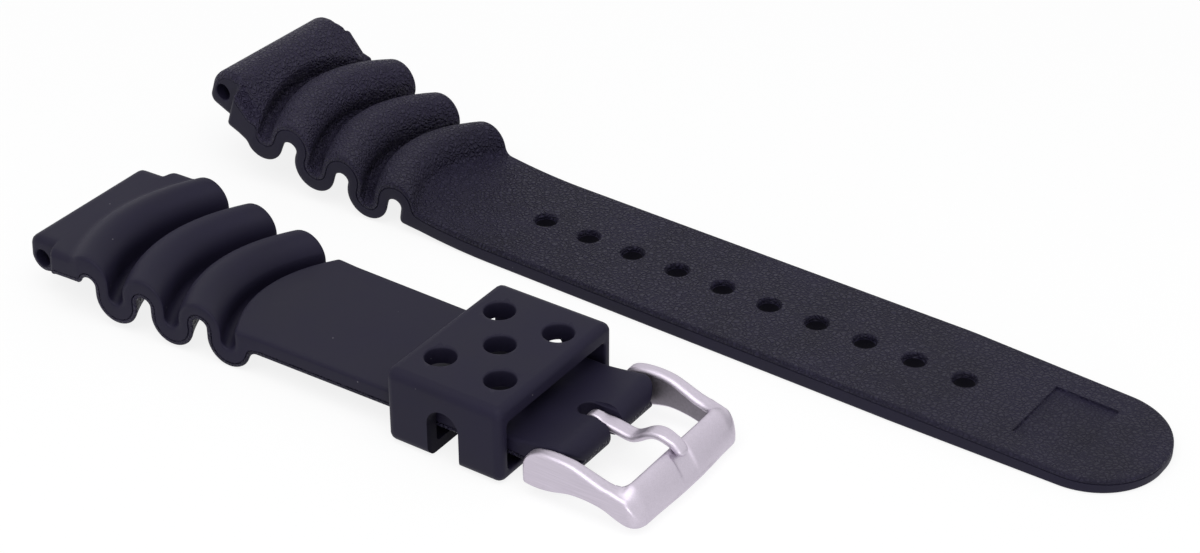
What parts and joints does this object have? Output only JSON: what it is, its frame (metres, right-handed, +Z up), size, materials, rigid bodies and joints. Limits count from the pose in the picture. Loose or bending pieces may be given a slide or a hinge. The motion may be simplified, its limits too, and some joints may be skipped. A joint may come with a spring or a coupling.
{
  "type": "rubber watch strap",
  "caption": "Two-piece moulded rubber watch strap with ribbed lug ends, a rubber keeper and a pin buckle on a spring bar.",
  "frame": {"origin": "on the table, under the middle of both straps as they lie", "axes": "+X along the short strap from its lug end to its buckle, +Y towards the long strap, +Z up"},
  "size_m": [0.1464, 0.0653, 0.0154],
  "materials": {
    "strap_rubber": "satin moulded outside, fine grain inside",
    "buckle_steel": "satin"
  },
  "bodies": {
    "short_strap": {"buckle_strap": "strap_rubber"},
    "long_strap": {"tail_strap": "strap_rubber"},
    "keeper": {"keeper": "strap_rubber"},
    "spring_bar": {"spring_bar_tube": "buckle_steel", "spring_bar_spring": "buckle_steel"},
    "tip_left": {"spring_bar_tip_left": "buckle_steel"},
    "tip_right": {"spring_bar_tip_right": "buckle_steel"},
    "buckle": {"buckle_frame": "buckle_steel"},
    "tang": {"tang": "buckle_steel"}
  },
  "joints": [
    {"name": "long_strap_lift", "type": "slide", "parent": "short_strap", "child": "long_strap", "axis": [0, 0, 1], "range_m": [0, 0.03]},
    {"name": "keeper_slide", "type": "slide", "parent": "short_strap", "child": "keeper", "axis": [1, 0, 0], "range_m": [-0.018, 0.002]},
    {"name": "spring_bar_turn", "type": "hinge", "parent": "short_strap", "child": "spring_bar", "pos_m": [0.0142, -0.02, 0.00455], "axis": [0, -1, 0], "continuous": true},
    {"name": "tip_left_press", "type": "slide", "parent": "spring_bar", "child": "tip_left", "axis": [0, -1, 0], "range_m": [0, 0.0013], "stiffness_N_per_m": 1000, "springref_m": -0.001, "deforming": ["spring_bar_spring"]},
    {"name": "tip_right_press", "type": "slide", "parent": "spring_bar", "child": "tip_right", "axis": [0, 1, 0], "range_m": [0, 0.0013], "stiffness_N_per_m": 1000, "springref_m": -0.001, "deforming": ["spring_bar_spring"]},
    {"name": "buckle_turn", "type": "hinge", "parent": "short_strap", "child": "buckle", "pos_m": [0.0142, -0.02, 0.00455], "axis": [0, -1, 0], "range_deg": [-75, 45]},
    {"name": "tang_turn", "type": "hinge", "parent": "buckle", "child": "tang", "pos_m": [0.0142, -0.02, 0.00455], "axis": [0, -1, 0], "range_deg": [0, 60]}
  ]
}
